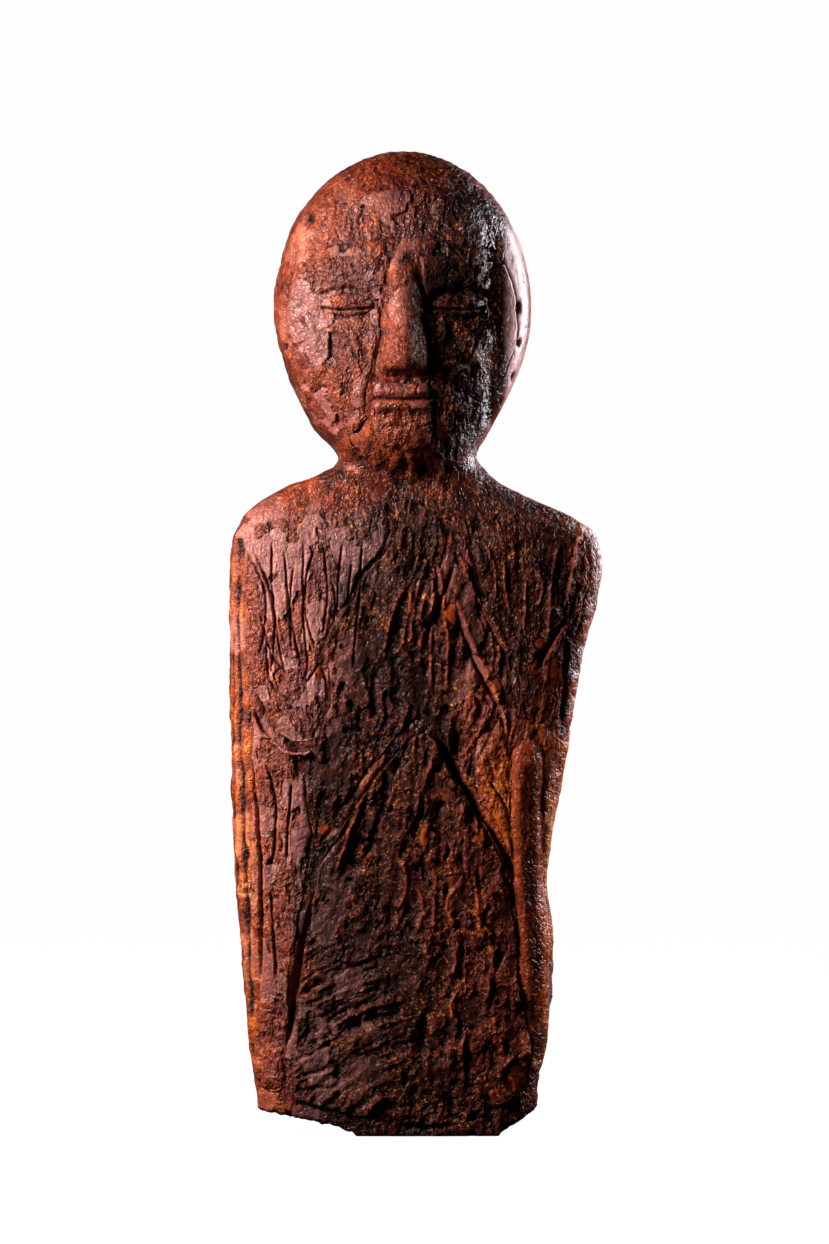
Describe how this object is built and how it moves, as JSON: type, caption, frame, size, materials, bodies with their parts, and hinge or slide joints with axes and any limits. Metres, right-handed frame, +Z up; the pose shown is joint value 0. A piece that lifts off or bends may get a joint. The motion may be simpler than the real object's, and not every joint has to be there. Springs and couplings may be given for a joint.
{
  "type": "carved figure",
  "caption": "Upright flat-backed figure carved in resin, with a domed head, square shoulders and a tapering slab body under a flaking weathered crust.",
  "frame": {"origin": "centre of the figure's width and depth, at the height of the worn patch it stands on", "axes": "+Z up through the crown; front of the figure towards -Y; the figure's own left towards +X"},
  "size_m": [0.0376, 0.0191, 0.1],
  "materials": {
    "resin": "polished",
    "bare_resin": "polished",
    "red_crust": "worn satin",
    "dark_crust": "worn satin"
  },
  "bodies": {
    "root": {"resin_core": "resin", "forehead_crust": "red_crust", "right_cheek_crust": "red_crust", "left_cheek_crust": "dark_crust", "mouth_crust": "red_crust", "right_shoulder_crust": "red_crust", "left_shoulder_crust": "dark_crust", "breast_crust": "dark_crust", "left_flank_crust": "bare_resin", "belly_crust": "dark_crust", "right_arm_crust": "red_crust", "back_crust": "dark_crust", "nape_crust": "dark_crust"}
  },
  "joints": []
}
